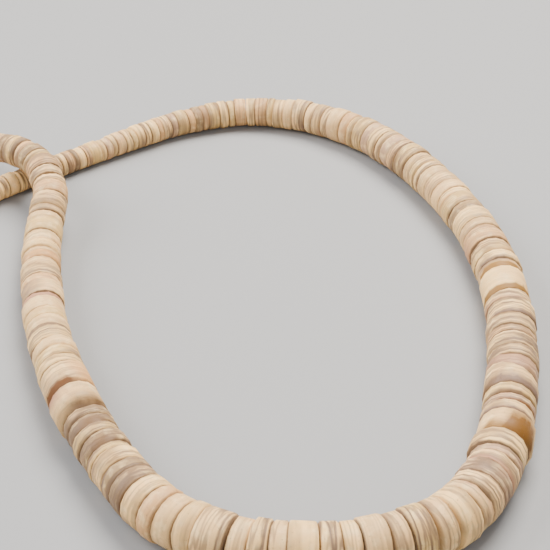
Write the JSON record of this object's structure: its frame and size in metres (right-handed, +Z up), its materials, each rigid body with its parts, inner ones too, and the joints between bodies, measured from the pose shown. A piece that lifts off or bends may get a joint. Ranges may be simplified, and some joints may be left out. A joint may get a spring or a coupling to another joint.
{
  "type": "heishi bead necklace",
  "caption": "Graduated necklace of drilled shell discs on one thread with a barrel clasp, lying flat as a closed loop that crosses itself.",
  "frame": {"origin": "under the middle of the necklace, on the surface that it lies on", "axes": "+Z up; the front of the necklace, where the discs are widest, points to -Y, and the clasp lies towards -X"},
  "size_m": [0.1594, 0.1538, 0.012],
  "materials": {
    "shell": "satin cream to tan shell, tumbled smooth, with fine growth lines",
    "thread": "twisted waxed thread",
    "silver": "satin silver, slightly tarnished"
  },
  "bodies": {
    "root": {"left_string": "shell", "right_string": "shell", "thread": "thread", "clasp": "silver"}
  },
  "joints": []
}
